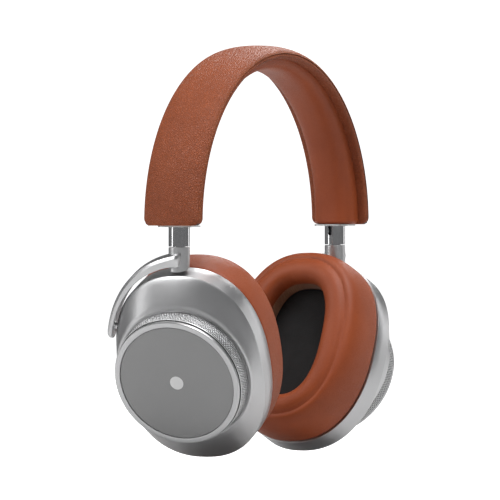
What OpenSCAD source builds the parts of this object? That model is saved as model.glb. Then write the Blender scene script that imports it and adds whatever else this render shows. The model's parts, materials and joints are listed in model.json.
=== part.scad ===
// Over-ear headphones with sliding, swivelling and tilting ear cups.
// Frame: +Z up, +X towards the wearer's left, -Y towards the wearer's front.
// The origin is where the band's pad rests on the crown of the head.
// Everything on the wearer's right is the mirror image, in X, of the left.

/* [Headband] */
// Radius of the short top arc, measured at the side seam of the cover
crown_r = 80.9; // [74:0.1:88]
// Half of the angle that the top arc spans
crown_half_angle = 18; // [12:1:24]
// Radius of the two long side arcs, at the side seam
side_r = 80.9; // [76:0.1:96]
// Height from the ends of the band to the seam at its crown
band_drop = 82; // [74:1:90]
// Height of the seam above the crown of the head
seam_rise = 8.5; // [7.5:0.1:11]
// Width of the band, front to back
band_w = 30.7; // [27:0.1:36]
// Radius of the rounded corners at the ends of the band
band_corner_r = 3.3; // [2:0.1:4]
// Height of the crowned cover above the seam
dome_h = 3.4; // [2.6:0.1:5]
// Thickness of the padded leather cover
cover_t = 1.2; // [0.8:0.1:1.6]
// Depth of the core below the seam
core_depth = 1.8; // [1.6:0.1:2.2]
// Thickness of the leather lining
lining_t = 1.3; // [0.8:0.1:1.8]
// Width of the head pad
pad_w = 21.7; // [16:0.1:25]
// Depth of the pad below the seam at the ends of the band
pad_end_depth = 13.4; // [13:0.1:16]
// Width of the spring strip
spring_w = 16; // [8:1:20]
// Thickness of the spring strip
spring_t = 0.8; // [0.5:0.1:1]

/* [Posts] */
// Radius of the sliding post
post_r = 5; // [4.5:0.1:5.2]
// Depth of the post's axis inside the seam, at the ends of the band
post_inset = 6.6; // [6.4:0.1:7.4]
// Length of post that shows between band and swivel line
post_show = 9.8; // [9:0.1:20]
// Length of post inside the band
post_in = 13; // [11:0.5:14]
// Travel of the post into the band
slide_up = 6; // [3:0.5:6]
// Travel of the post out of the band
slide_down = 7; // [4:0.5:7]
// Radius of the wire channel in the post
wire_r = 3; // [2:0.1:3.4]
// Width of the guide slot
slot_w = 2.2; // [1.8:0.1:3]
// Wall of the guide sleeve in the band
sleeve_wall = 0.75; // [0.6:0.05:1]
// Length of the guide sleeve
sleeve_h = 10; // [8:0.5:11]

/* [Yokes] */
// Height of the collar that turns on the post
collar_h = 9.85; // [7:0.05:12]
// Radius of the swivel stub below the post
stub_r = 3; // [2.5:0.1:3.5]
// Distance from the collar to the rim of the cup
collar_gap = 1.5; // [1:0.1:3]
// Outward place of the collar, measured from the back of the cup's rim
collar_out = 5; // [4:0.5:7]
// Width of the arm
arm_w = 7.5; // [6:0.5:9]
// Thickness of the arm at its root
arm_root_t = 5.5; // [4:0.1:6.5]
// Thickness of the arm at the pivot
arm_tip_t = 2.6; // [2.2:0.1:3.5]
// Gap between arm and rim beside the pivot
arm_gap = 1.5; // [1.2:0.1:4]
// Radius of the pivot pin
pivot_r = 1.5; // [1:0.1:2]
// Height of the pivot above the middle of the cup
pivot_up = 20; // [14:1:24]
// Tilt of the cups at rest
tilt_rest = 23; // [15:1:25]
// Swivel of the left cup at rest, outer face towards the front
swivel_left = 2; // [0:1:10]
// Swivel of the right cup at rest, outer face towards the front
swivel_right = 8; // [0:1:10]

/* [Cups] */
// Half of the cup's width, front to back
rim_half_w = 36.5; // [34:0.5:44]
// Half of the cup's height
rim_half_h = 46.5; // [43:0.5:56]
// Height of the straight rim
rim_t = 11; // [9.5:0.5:13]
// Height of the housing at its lip
lip_h = 19; // [18:0.5:24]
// Radius of the lip
lip_r = 33.7; // [32.5:0.1:34]
// Wall of the housing
wall = 2; // [1.6:0.1:2.4]
// Step from the lip in to the perforated ring
mesh_step = 2.1; // [1.8:0.1:3.2]
// Wall of the perforated ring
mesh_wall = 1.2; // [0.8:0.1:1.5]
// Height of the perforated ring
mesh_h = 8; // [6:0.5:12]
// Step from the perforated ring in to the cap ring
cap_step = 0.6; // [0.2:0.1:1.6]
// Width of the cap ring's rim
cap_rim_w = 2.7; // [2:0.1:4]
// Height of the cap ring
cap_h = 2; // [1.6:0.1:3]
// Depth of the glass below the cap ring's rim
glass_drop = 0.3; // [0.1:0.1:0.5]
// Radius of the round badge on the glass
badge_r = 3.3; // [2:0.1:5]

/* [Ear pads] */
// Thickness of the cushion
cushion_t = 22; // [18:0.5:26]
// Set-back of the cushion from the edge of the rim
cushion_inset = 1; // [0.5:0.1:3]
// Half of the opening's width
ear_half_w = 18.5; // [17:0.5:22]
// Half of the opening's height
ear_half_h = 30; // [27:0.5:34]
// Thickness of the plate that carries the cushion
pad_plate_t = 1.5; // [1:0.1:2]
// Height of the plinth under the driver's cloth
plinth_h = 9.7; // [6:0.1:12]

/* [Driver] */
// Radius of the driver's basket
driver_r = 21; // [18:0.5:22]
// Depth of the driver's basket
driver_h = 6; // [5:0.5:8]
// Radius of the magnet
magnet_r = 12; // [9:0.5:14]
// Height of the magnet
magnet_h = 5.5; // [3:0.5:6]

/* [Controls] */
// Radius of a push button
button_r = 1.7; // [1.4:0.1:2]
// Height of a button above the rim
button_proud = 0.7; // [0.5:0.1:1]
// Distance between buttons
button_pitch = 7; // [6:0.5:8]

/* [Hidden] */
$fn = 96;

LEFT = 1;
RIGHT = -1;
leather = "sienna";
satin = "silver";
steel = "lightgray";
plastic = "dimgray";
cloth = "black";
big = 300;

// clearances
run_gap = 0.05;   // a shaft in its bore
part_gap = 0.3;   // between parts that move past each other
seat_gap = 0.1;   // a part set into a recess

// arcs of the band, in the plane Y = 0
crown_z = seam_rise - crown_r;
side_x = (crown_r - side_r) * sin(crown_half_angle);
side_z = crown_z + (crown_r - side_r) * cos(crown_half_angle);
end_z = seam_rise - band_drop;
end_x = side_x + sqrt(pow(side_r, 2) - pow(end_z - side_z, 2));
side_steps = 26;
crown_steps = 12;
// height above the seam and width of each layer of the crowned cover
crown_layers = [[dome_h - 2, band_w], [dome_h - 0.8, band_w - 4.5], [dome_h, band_w - 11]];
edge_wrap = 1;
lining_depth = core_depth + lining_t;
pad_in_x = end_x - pad_end_depth;
pad_in_r = (pow(pad_in_x, 2) + pow(end_z, 2)) / (-2 * end_z);
plate_t = 0.8;

// posts
post_x = end_x - post_inset;
post_top = end_z + post_in;
swivel_z = end_z - post_show;
sleeve_r = post_r + run_gap + sleeve_wall;
pin_up = 2.5;
pin_r = slot_w / 2 - part_gap;
slot_low = end_z + pin_up - pin_r - part_gap - slide_up;
slot_high = end_z + pin_up + pin_r + part_gap + slide_down;
stub_len = 5.6;
clip_t = 0.8;
clip_r = stub_r + 0.6;
seat_z = swivel_z - 4.5;

// cups: x outwards, y to the rear, z up, from the middle of the back of the rim
oval_power = 2.3;
ear_power = 2.6;
oval_steps = 72;
collar_foot = swivel_z - part_gap - collar_h;
rim_top = rim_half_h + collar_gap;
in_half_w = rim_half_w - wall;
in_half_h = rim_half_h - wall;
baffle_t = 2.5;
plinth_wall = 1.6;
plinth_gap = 1.5;
plinth_half_w = ear_half_w - plinth_gap;
plinth_half_h = ear_half_h - plinth_gap;
liner_t = 0.5;
cloth_t = 0.6;
top_plate = 2;
mesh_r = lip_r - mesh_step;
cap_r = mesh_r - cap_step;
ledge_r = mesh_r - 5.6;
board_r = mesh_r - 3.6;
mesh_top = lip_h + mesh_h;
cap_top = mesh_top + cap_h;
glass_r = cap_r - cap_rim_w;
glass_t = 1.3;
glass_top = cap_top - glass_drop;
badge_t = 0.2;
badge_proud = 0.05;
pad_back = -part_gap;
cushion_back = pad_back - pad_plate_t;
cushion_face = cushion_back - cushion_t;

// arm and pivot
arm_low = collar_out - 0.5;
pivot_out = arm_low + arm_w / 2;
arm_in_v = rim_half_h + 4.2;
arm_out_v = arm_in_v + arm_root_t;
pivot_rim_y = oval_y(rim_half_w, rim_half_h, pivot_up);
arm_in_u = (pivot_rim_y + arm_gap) / sqrt(1 - pow(pivot_up / arm_in_v, 2));
arm_out_u = (pivot_rim_y + arm_gap + arm_tip_t) / sqrt(1 - pow(pivot_up / arm_out_v, 2));
arm_foot = pivot_up - 6;
boss_r = pivot_r + 1.7;
boss_in = 6.5;

// screws and controls
screw_y = in_half_w - 10.5;
screw_v = in_half_h - 13.5;
screw_r = 1.1;
screw_head_r = 2.2;
screw_boss_r = 3;
screw_boss_top = 9;
control_out = rim_t / 2;
button_high = -3;
button_low = button_high - 2 * button_pitch;
port_w = 8.9;
port_h = 3.2;
port_l = 7;
port_v = -15;
port_wall = 0.3;

// rear edge of an oval at a given height
function oval_y(hw, hh, v) = hw * pow(1 - pow(abs(v) / hh, oval_power), 1 / oval_power);

// closed outline that is fuller than an ellipse: the higher the power, the squarer
function oval(hw, hh, power) = [
    for (i = [0:oval_steps - 1])
        let (a = 360 * (i + 0.5) / oval_steps, c = cos(a), s = sin(a))
            [hw * sign(c) * pow(abs(c), 2 / power), hh * sign(s) * pow(abs(s), 2 / power)]
];

// quarter of an ellipse, from straight up to straight back
function quarter(u, v, steps) = [for (i = [0:steps]) [u * sin(90 * i / steps), v * cos(90 * i / steps)]];

function reversed(points) = [for (i = [len(points) - 1:-1:0]) points[i]];

// ---- placing ----

module on_side(side) {
    if (side > 0) children();
    else mirror([1, 0, 0]) children();
}

module at_post(side) {
    on_side(side) translate([post_x, 0, 0]) children();
}

// turned with the yoke, from the axis of the post
module at_yoke(side) {
    on_side(side) translate([post_x, 0, 0])
        rotate([0, 0, side > 0 ? -swivel_left : -swivel_right]) children();
}

// tilted with the cup, from the middle of the back of its rim
module tilted() {
    translate([0, 0, collar_foot]) rotate([0, tilt_rest, 0])
        translate([-collar_out, 0, -rim_top]) children();
}

module at_cup(side) {
    at_yoke(side) tilted() children();
}

// outline in y and z, given a thickness along x
module slab(low, high) {
    translate([low, 0, 0]) rotate([90, 0, 90]) linear_extrude(high - low) children();
}

module disc(r, low, high) {
    translate([low, 0, 0]) rotate([0, 90, 0]) cylinder(r = r, h = high - low);
}

module tube(r, r_in, low, high) {
    difference() {
        disc(r, low, high);
        disc(r_in, low - 1, high + 1);
    }
}

// rod along y at a given place out and up
module rear_rod(r, out, v, y_low, y_high) {
    translate([out, y_low, v]) rotate([-90, 0, 0]) cylinder(r = r, h = y_high - y_low);
}

// ---- band ----

// points of the side arc, from the end of the band up to the top arc
function side_line(r) =
    let (radius = side_r + r, low = asin((end_z - side_z) / radius), high = 90 - crown_half_angle)
        [for (i = [0:side_steps])
            let (a = low + (high - low) * i / side_steps)
                [side_x + radius * cos(a), side_z + radius * sin(a)]];

// line of the whole arch at a distance outside the seam
function arch_line(r) = concat(
    side_line(r),
    [for (i = [1:crown_steps - 1])
        let (a = 90 - crown_half_angle + 2 * crown_half_angle * i / crown_steps)
            [(crown_r + r) * cos(a), crown_z + (crown_r + r) * sin(a)]],
    [for (point = reversed(side_line(r))) [-point[0], point[1]]]
);

// layer of the band between two distances from the seam
module strip(low, high, w) {
    translate([0, w / 2, 0]) rotate([90, 0, 0]) linear_extrude(w)
        polygon(concat(arch_line(high), reversed(arch_line(low))));
}

// band with a crowned top, under a skin of a given thickness
module crowned(skin, low) {
    for (layer = crown_layers) strip(low, layer[0] - skin, layer[1] - 2 * skin);
}

module sleeve_pockets() {
    for (side = [LEFT, RIGHT])
        at_post(side) {
            translate([0, 0, end_z - 1]) cylinder(r = sleeve_r, h = sleeve_h + 1);
            translate([0, 0, end_z]) cylinder(r = post_r + part_gap, h = post_in + slide_up + part_gap);
            translate([-sleeve_r, 0, end_z + pin_up]) rotate([0, 90, 0])
                cylinder(r = pin_r, h = 2, center = true, $fn = 32);
        }
}

// what is cut away to round the corners at the ends of the band
module end_corners() {
    r = band_corner_r;
    for (side = [0, 1]) mirror([0, side, 0]) difference() {
        translate([-big / 2, band_w / 2 - r, end_z - 1]) cube([big, r + 1, r + 1]);
        translate([-big / 2 - 1, band_w / 2 - r, end_z + r]) rotate([0, 90, 0])
            cylinder(r = r, h = big + 2);
    }
}
module band_cover() {
    color(leather) difference() {
        crowned(0, -edge_wrap);
        crowned(cover_t, -edge_wrap - 1);
        end_corners();
    }
}

// the spring lies in a groove in the core's underside
module band_core() {
    color(plastic) difference() {
        crowned(cover_t, -core_depth);
        strip(-core_depth - 1, -core_depth + spring_t, spring_w);
        sleeve_pockets();
        end_corners();
    }
}

module band_spring() {
    color(steel) difference() {
        strip(-core_depth, -core_depth + spring_t, spring_w);
        sleeve_pockets();
    }
}

module band_lining() {
    color(leather) difference() {
        strip(-lining_depth, -core_depth, band_w);
        sleeve_pockets();
        end_corners();
    }
}

module band_pad() {
    color(leather) difference() {
        strip(-pad_end_depth - 3, -lining_depth, pad_w);
        translate([0, 0, -pad_in_r]) rotate([90, 0, 0])
            cylinder(r = pad_in_r, h = 2 * band_w, center = true);
        sleeve_pockets();
    }
}

module end_plate(side) {
    r = 3;
    long = 2 * (post_r + part_gap + 1.4);
    wide = pad_w - 4;
    color(satin) at_post(side) translate([0, 0, end_z - plate_t]) linear_extrude(plate_t) difference() {
        union() {
            translate([-long / 2, -wide / 2 + r]) square([long, wide - 2 * r]);
            translate([-long / 2 + r, -wide / 2]) square([long - 2 * r, wide]);
            for (x = [-1, 1], y = [-1, 1])
                translate([x * (long / 2 - r), y * (wide / 2 - r)]) circle(r = r);
        }
        circle(r = post_r + part_gap);
    }
}

module sleeve(side) {
    color(plastic) at_post(side) difference() {
        translate([0, 0, end_z]) cylinder(r = sleeve_r, h = sleeve_h);
        translate([0, 0, end_z - 1]) cylinder(r = post_r + run_gap, h = sleeve_h + 2);
        translate([-post_r, 0, end_z + pin_up]) rotate([0, 90, 0])
            cylinder(r = pin_r, h = 4, center = true, $fn = 32);
    }
}

module guide_pin(side) {
    color(steel) at_post(side) translate([-sleeve_r - 0.4, 0, end_z + pin_up]) rotate([0, 90, 0])
        cylinder(r = pin_r, h = sleeve_r + 0.4 - wire_r - 0.4, $fn = 32);
}

// ---- posts and yokes ----

module post(side) {
    color(steel) at_post(side) difference() {
        union() {
            translate([0, 0, swivel_z]) cylinder(r = post_r, h = post_top - swivel_z);
            translate([0, 0, swivel_z - stub_len]) cylinder(r = stub_r, h = stub_len + 1);
        }
        translate([0, 0, swivel_z + 2.5]) cylinder(r = wire_r, h = big);
        translate([0, 0, swivel_z - big / 2]) cylinder(r = stub_r - 1.3, h = big);
        guide_slot();
    }
}

// straight slot with round ends through the wall that faces the head
module guide_slot() {
    r = slot_w / 2;
    reach = post_r + 1;
    translate([-reach, -r, slot_low + r - pin_r])
        cube([reach, slot_w, slot_high - slot_low - 2 * (r - pin_r)]);
    for (z = [slot_low + r - pin_r, slot_high - (r - pin_r)])
        translate([-reach, 0, z]) rotate([0, 90, 0]) cylinder(r = r, h = reach, $fn = 32);
}

module swivel_clip(side) {
    color(steel) at_post(side) translate([0, 0, seat_z - part_gap - clip_t]) difference() {
        cylinder(r = clip_r, h = clip_t);
        translate([0, 0, -1]) cylinder(r = stub_r, h = clip_t + 2);
    }
}

module yoke_arm() {
    steps = 24;
    intersection() {
        slab(arm_low, arm_low + arm_w) polygon(concat(
            [[-2, arm_out_v]],
            quarter(arm_out_u, arm_out_v, steps),
            reversed(quarter(arm_in_u, arm_in_v, steps)),
            [[-2, arm_in_v]]
        ));
        translate([-big / 2, -10, arm_foot]) cube(big);
    }
}

module yoke(side) {
    color(satin) at_yoke(side) difference() {
        union() {
            difference() {
                translate([0, 0, collar_foot - 6]) cylinder(r = post_r, h = collar_h + 6);
                tilted() translate([-big / 2, -big / 2, rim_top - big]) cube(big);
            }
            tilted() yoke_arm();
        }
        translate([0, 0, seat_z - 1]) cylinder(r = stub_r + run_gap, h = 20);
        translate([0, 0, collar_foot - 20]) cylinder(r = clip_r + part_gap, h = seat_z - collar_foot + 20);
        tilted() rear_rod(pivot_r, pivot_out, pivot_up, pivot_rim_y, rim_half_w + 20);
    }
}

module pivot_pin(side) {
    color(steel) at_cup(side) rear_rod(
        pivot_r, pivot_out, pivot_up,
        pivot_rim_y - boss_in, pivot_rim_y + arm_gap + arm_tip_t - 0.5
    );
}

// ---- cups ----

module shell(hw, hh, straight, top, r) {
    hull() {
        slab(0, straight) polygon(oval(hw, hh, oval_power));
        translate([top - 0.5, 0, 0]) rotate([0, 90, 0]) cylinder(r = r, h = 0.5, $fn = oval_steps);
    }
}

module screw_places() {
    for (y = [-1, 1], v = [-1, 1])
        translate([0, y * screw_y, v * screw_v]) children();
}

// holes that only one cup has are cut by children
module housing(side) {
    color(satin) at_cup(side) difference() {
        union() {
            difference() {
                shell(rim_half_w, rim_half_h, rim_t, lip_h, lip_r);
                difference() {
                    translate([-0.01, 0, 0])
                        shell(in_half_w, in_half_h, rim_t - 1, lip_h - top_plate, lip_r - wall);
                    rear_rod(boss_r, pivot_out, pivot_up, pivot_rim_y - boss_in, rim_half_w);
                    screw_places() disc(screw_boss_r, baffle_t, screw_boss_top);
                }
            }
        }
        disc(ledge_r, lip_h - top_plate - 1, lip_h + 1);
        rear_rod(pivot_r + run_gap, pivot_out, pivot_up, 0, rim_half_w + 5);
        screw_places() disc(screw_r, -1, screw_boss_top - 1);
        children();
    }
}

module mesh_ring(side) {
    color(satin) at_cup(side) tube(mesh_r, mesh_r - mesh_wall, lip_h, mesh_top);
}

module cap_ring(side) {
    color(satin) at_cup(side) difference() {
        disc(cap_r, mesh_top, cap_top);
        disc(glass_r, glass_top - glass_t, cap_top + 1);
        disc(glass_r - 2, mesh_top - 1, cap_top);
    }
}

module glass(side) {
    color("gray") at_cup(side) difference() {
        disc(glass_r - seat_gap / 2, glass_top - glass_t, glass_top);
        disc(badge_r, glass_top - badge_t, glass_top + 1);
    }
}

module badge(side) {
    color("white") at_cup(side) disc(badge_r, glass_top - badge_t, glass_top + badge_proud);
}

module baffle(side) {
    color(plastic) at_cup(side) difference() {
        union() {
            slab(0, baffle_t) polygon(oval(in_half_w, in_half_h, oval_power));
            slab(-plinth_h, 0) polygon(oval(plinth_half_w, plinth_half_h, ear_power));
        }
        slab(-plinth_h + plinth_wall, 0)
            polygon(oval(plinth_half_w - plinth_wall, plinth_half_h - plinth_wall, ear_power));
        disc(plinth_half_w - plinth_wall, -1, baffle_t + 1);
        for (y = [-2:2], v = [-4:4])
            translate([0, 5 * y, 5 * v]) disc(1.8, -plinth_h - 1, -plinth_h + plinth_wall + 1);
        screw_places() {
            disc(screw_r + 0.2, -1, baffle_t + 1);
            disc(screw_head_r + 0.2, -1, 1.5);
        }
    }
}

module driver_frame(side) {
    color(plastic) at_cup(side) difference() {
        disc(driver_r, baffle_t, baffle_t + driver_h);
        disc(driver_r - 1.5, baffle_t - 1, baffle_t + driver_h - 1.5);
        disc(magnet_r - 4, 0, baffle_t + driver_h + 1);
    }
}

module magnet(side) {
    low = baffle_t + driver_h;
    color(steel) at_cup(side) disc(magnet_r, low, low + magnet_h);
}

module diaphragm(side) {
    color("gray") at_cup(side) disc(driver_r - 1.5, baffle_t, baffle_t + 0.4);
}

module driver_cloth(side) {
    color(cloth) at_cup(side) slab(-plinth_h - cloth_t, -plinth_h)
        polygon(oval(plinth_half_w, plinth_half_h, ear_power));
}

module pad_plate(side) {
    inset = cushion_inset + 0.5;
    color(plastic) at_cup(side) slab(cushion_back, pad_back) difference() {
        polygon(oval(rim_half_w - inset, rim_half_h - inset, oval_power));
        polygon(oval(ear_half_w, ear_half_h, ear_power));
    }
}

module cushion(side) {
    color(leather) at_cup(side) slab(cushion_face, cushion_back) difference() {
        polygon(oval(rim_half_w - cushion_inset, rim_half_h - cushion_inset, oval_power));
        polygon(oval(ear_half_w, ear_half_h, ear_power));
    }
}

module pad_liner(side) {
    color(cloth) at_cup(side) slab(cushion_face + 3, pad_back) difference() {
        polygon(oval(ear_half_w, ear_half_h, ear_power));
        polygon(oval(ear_half_w - liner_t, ear_half_h - liner_t, ear_power));
    }
}

module screws(side) {
    color(steel) at_cup(side) screw_places() {
        disc(screw_head_r, 0.2, 1.5);
        disc(screw_r, 1.5, screw_boss_top - 1);
    }
}

// ---- controls ----

module button(v) {
    y_wall = oval_y(rim_half_w, rim_half_h, v);
    y_in = oval_y(in_half_w, in_half_h, abs(v) + button_r + 1) - part_gap;
    rear_rod(button_r, control_out, v, y_in - 2, y_wall + button_proud);
    rear_rod(button_r + 0.8, control_out, v, y_in - 2, y_in - 1);
}

module button_hole(v) {
    rear_rod(button_r + part_gap, control_out, v, in_half_w - 12, rim_half_w + 5);
}

module volume_up_button() {
    color(satin) at_cup(RIGHT) button(button_high);
}

module play_button() {
    color(satin) at_cup(RIGHT) button(button_high - button_pitch);
}

module volume_down_button() {
    color(satin) at_cup(RIGHT) button(button_low);
}

module mode_button() {
    color(satin) at_cup(LEFT) button(button_high);
}

// flat rounded socket shape, lying along y
module port_shape(w, h, y_low, y_high) {
    r = h / 2;
    translate([control_out - r, y_low, port_v - w / 2 + r]) cube([h, y_high - y_low, w - 2 * r]);
    for (v = [-1, 1]) rear_rod(r, control_out, port_v + v * (w / 2 - r), y_low, y_high);
}

module charge_port() {
    y_out = oval_y(rim_half_w, rim_half_h, port_v) - 0.6;
    color(steel) at_cup(LEFT) {
        difference() {
            port_shape(port_w, port_h, y_out - port_l, y_out);
            port_shape(port_w - 2 * port_wall, port_h - 2 * port_wall, y_out - port_l + 1, y_out + 1);
        }
        translate([control_out - 0.35, y_out - port_l + 0.5, port_v - 3.2]) cube([0.7, 5, 6.4]);
    }
}

module main_board() {
    color("darkgreen") at_cup(RIGHT) disc(board_r, lip_h, lip_h + 1.2);
}

module battery() {
    long = 44;
    wide = 33;
    color("silver") at_cup(LEFT) translate([lip_h, -wide / 2, -long / 2]) cube([5.5, wide, long]);
}

band_cover();
band_core();
band_spring();
band_lining();
band_pad();
end_plate(LEFT);  // left_end_plate
sleeve(LEFT);  // left_sleeve
guide_pin(LEFT);  // left_guide_pin
post(LEFT);  // left_post
swivel_clip(LEFT);  // left_swivel_clip
yoke(LEFT);  // left_yoke
pivot_pin(LEFT);  // left_pivot_pin
housing(LEFT) {  // left_housing
    button_hole(button_high);
    port_shape(port_w, port_h, in_half_w - 12, rim_half_w + 5);
}
mesh_ring(LEFT);  // left_mesh_ring
cap_ring(LEFT);  // left_cap_ring
glass(LEFT);  // left_glass
badge(LEFT);  // left_badge
baffle(LEFT);  // left_baffle
driver_frame(LEFT);  // left_driver_frame
magnet(LEFT);  // left_magnet
diaphragm(LEFT);  // left_diaphragm
driver_cloth(LEFT);  // left_driver_cloth
pad_plate(LEFT);  // left_pad_plate
cushion(LEFT);  // left_cushion
pad_liner(LEFT);  // left_pad_liner
screws(LEFT);  // left_screws
end_plate(RIGHT);  // right_end_plate
sleeve(RIGHT);  // right_sleeve
guide_pin(RIGHT);  // right_guide_pin
post(RIGHT);  // right_post
swivel_clip(RIGHT);  // right_swivel_clip
yoke(RIGHT);  // right_yoke
pivot_pin(RIGHT);  // right_pivot_pin
housing(RIGHT) {  // right_housing
    for (i = [0:2]) button_hole(button_high - i * button_pitch);
}
mesh_ring(RIGHT);  // right_mesh_ring
cap_ring(RIGHT);  // right_cap_ring
glass(RIGHT);  // right_glass
badge(RIGHT);  // right_badge
baffle(RIGHT);  // right_baffle
driver_frame(RIGHT);  // right_driver_frame
magnet(RIGHT);  // right_magnet
diaphragm(RIGHT);  // right_diaphragm
driver_cloth(RIGHT);  // right_driver_cloth
pad_plate(RIGHT);  // right_pad_plate
cushion(RIGHT);  // right_cushion
pad_liner(RIGHT);  // right_pad_liner
screws(RIGHT);  // right_screws
volume_up_button();
play_button();
volume_down_button();
main_board();
mode_button();
charge_port();
battery();
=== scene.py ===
import json
import math

import bmesh
import bpy
import numpy as np
from mathutils import Matrix, Vector


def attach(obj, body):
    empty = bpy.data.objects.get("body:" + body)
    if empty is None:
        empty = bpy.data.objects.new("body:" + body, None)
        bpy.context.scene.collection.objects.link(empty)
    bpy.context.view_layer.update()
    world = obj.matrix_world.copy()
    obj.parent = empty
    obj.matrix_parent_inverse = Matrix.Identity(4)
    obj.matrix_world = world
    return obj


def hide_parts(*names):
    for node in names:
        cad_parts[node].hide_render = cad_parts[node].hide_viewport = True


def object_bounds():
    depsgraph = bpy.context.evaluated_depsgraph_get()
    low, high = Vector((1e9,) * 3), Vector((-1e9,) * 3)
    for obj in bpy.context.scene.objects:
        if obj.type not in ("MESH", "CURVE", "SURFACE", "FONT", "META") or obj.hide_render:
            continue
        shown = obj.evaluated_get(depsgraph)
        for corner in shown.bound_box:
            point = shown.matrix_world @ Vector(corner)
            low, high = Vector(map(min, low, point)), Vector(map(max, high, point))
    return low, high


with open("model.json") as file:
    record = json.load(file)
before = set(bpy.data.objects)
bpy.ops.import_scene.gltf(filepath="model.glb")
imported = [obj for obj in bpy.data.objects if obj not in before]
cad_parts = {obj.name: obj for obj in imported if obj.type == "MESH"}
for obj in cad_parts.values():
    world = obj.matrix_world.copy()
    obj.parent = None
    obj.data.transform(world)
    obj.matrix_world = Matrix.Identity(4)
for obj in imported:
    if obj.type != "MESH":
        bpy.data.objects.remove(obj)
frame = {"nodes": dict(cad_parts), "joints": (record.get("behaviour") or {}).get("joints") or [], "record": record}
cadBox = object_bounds()

mm = 0.001
sides = ("left", "right")
print("frame loaded:", len(frame["nodes"]), "nodes")


def newGroup(name, inputs, outputs):
    # an empty node group with named sockets: inputs are (name, kind, value)
    group = bpy.data.node_groups.new(name, "ShaderNodeTree")
    for label, kind, value in inputs:
        socket = group.interface.new_socket(label, in_out="INPUT", socket_type="NodeSocket" + kind)
        if value is not None:
            socket.default_value = value
    for label, kind in outputs:
        group.interface.new_socket(label, in_out="OUTPUT", socket_type="NodeSocket" + kind)
    enter = group.nodes.new("NodeGroupInput")
    leave = group.nodes.new("NodeGroupOutput")
    return group, enter.outputs, leave.inputs


def addNode(tree, kind, values=None, **settings):
    # a shader node with its settings, and its inputs set from values or linked from sockets
    node = tree.nodes.new("ShaderNode" + kind)
    for key, value in settings.items():
        setattr(node, key, value)
    for key, value in (values or {}).items():
        if isinstance(value, bpy.types.NodeSocket):
            tree.links.new(value, node.inputs[key])
        else:
            node.inputs[key].default_value = value
    return node


def maths(tree, operation, first, second=0.0, clamp=False):
    return addNode(tree, "Math", {0: first, 1: second}, operation=operation, use_clamp=clamp).outputs[0]


def mixColour(tree, share, first, second, blend="MIX"):
    node = addNode(tree, "Mix", data_type="RGBA", blend_type=blend)
    for index, value in ((0, share), (6, first), (7, second)):
        if isinstance(value, bpy.types.NodeSocket):
            tree.links.new(value, node.inputs[index])
        else:
            node.inputs[index].default_value = value
    return node.outputs[2]


def buildGrainGroup():
    # leather grain: pebbles between creases, with a finer grain inside each pebble
    group, given, out = newGroup(
        "leatherGrain",
        [("Vector", "Vector", None), ("Pebbles", "Float", 900.0), ("Soften", "Float", 0.5)],
        [("Height", "Float"), ("Creases", "Float")])
    warp = addNode(group, "TexNoise", {"Vector": given["Vector"], "Scale": 260.0, "Detail": 2.0})
    bent = addNode(group, "VectorMath", {0: warp.outputs["Color"], 1: (0.0022, 0.0022, 0.0022)}, operation="MULTIPLY")
    moved = addNode(group, "VectorMath", {0: given["Vector"], 1: bent.outputs[0]}, operation="ADD")
    cells = addNode(group, "TexVoronoi", {"Vector": moved.outputs[0], "Scale": given["Pebbles"]},
                    feature="DISTANCE_TO_EDGE")
    dome = addNode(group, "MapRange", {0: cells.outputs["Distance"], 1: 0.0, 2: 0.32, 3: 0.0, 4: 1.0},
                   interpolation_type="SMOOTHSTEP")
    fine = addNode(group, "TexNoise", {"Vector": given["Vector"], "Scale": 3200.0, "Detail": 3.0})
    fineShare = maths(group, "MULTIPLY", fine.outputs["Fac"], 0.35)
    height = maths(group, "ADD", dome.outputs[0], fineShare)
    soft = maths(group, "MULTIPLY", height, given["Soften"])
    group.links.new(soft, out["Height"])
    group.links.new(maths(group, "SUBTRACT", 1.0, dome.outputs[0], True), out["Creases"])
    return group


def buildToneGroup():
    # slow change of tone over a surface, from one colour to another
    group, given, out = newGroup(
        "slowTone",
        [("Vector", "Vector", None), ("First", "Color", None), ("Second", "Color", None),
         ("Scale", "Float", 40.0), ("Contrast", "Float", 1.0)],
        [("Color", "Color"), ("Fac", "Float")])
    large = addNode(group, "TexNoise", {"Vector": given["Vector"], "Scale": given["Scale"], "Detail": 4.0,
                                        "Roughness": 0.6})
    centred = maths(group, "SUBTRACT", large.outputs["Fac"], 0.5)
    spread = maths(group, "MULTIPLY", centred, given["Contrast"])
    share = maths(group, "ADD", spread, 0.5, True)
    group.links.new(mixColour(group, share, given["First"], given["Second"]), out["Color"])
    group.links.new(share, out["Fac"])
    return group


def buildWearGroup():
    # mask of the edges that hands rub: where the surface bulges, broken up by noise
    group, given, out = newGroup(
        "edgeWear", [("Vector", "Vector", None), ("Start", "Float", 0.52), ("Width", "Float", 0.08)],
        [("Mask", "Float")])
    shape = addNode(group, "NewGeometry")
    patchy = addNode(group, "TexNoise", {"Vector": given["Vector"], "Scale": 350.0, "Detail": 4.0})
    rough = maths(group, "MULTIPLY", maths(group, "SUBTRACT", patchy.outputs["Fac"], 0.5), 0.06)
    edge = maths(group, "ADD", shape.outputs["Pointiness"], rough)
    high = maths(group, "ADD", given["Start"], given["Width"])
    mask = addNode(group, "MapRange", {0: edge, 1: given["Start"], 2: high, 3: 0.0, 4: 1.0})
    group.links.new(mask.outputs[0], out["Mask"])
    return group


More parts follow.
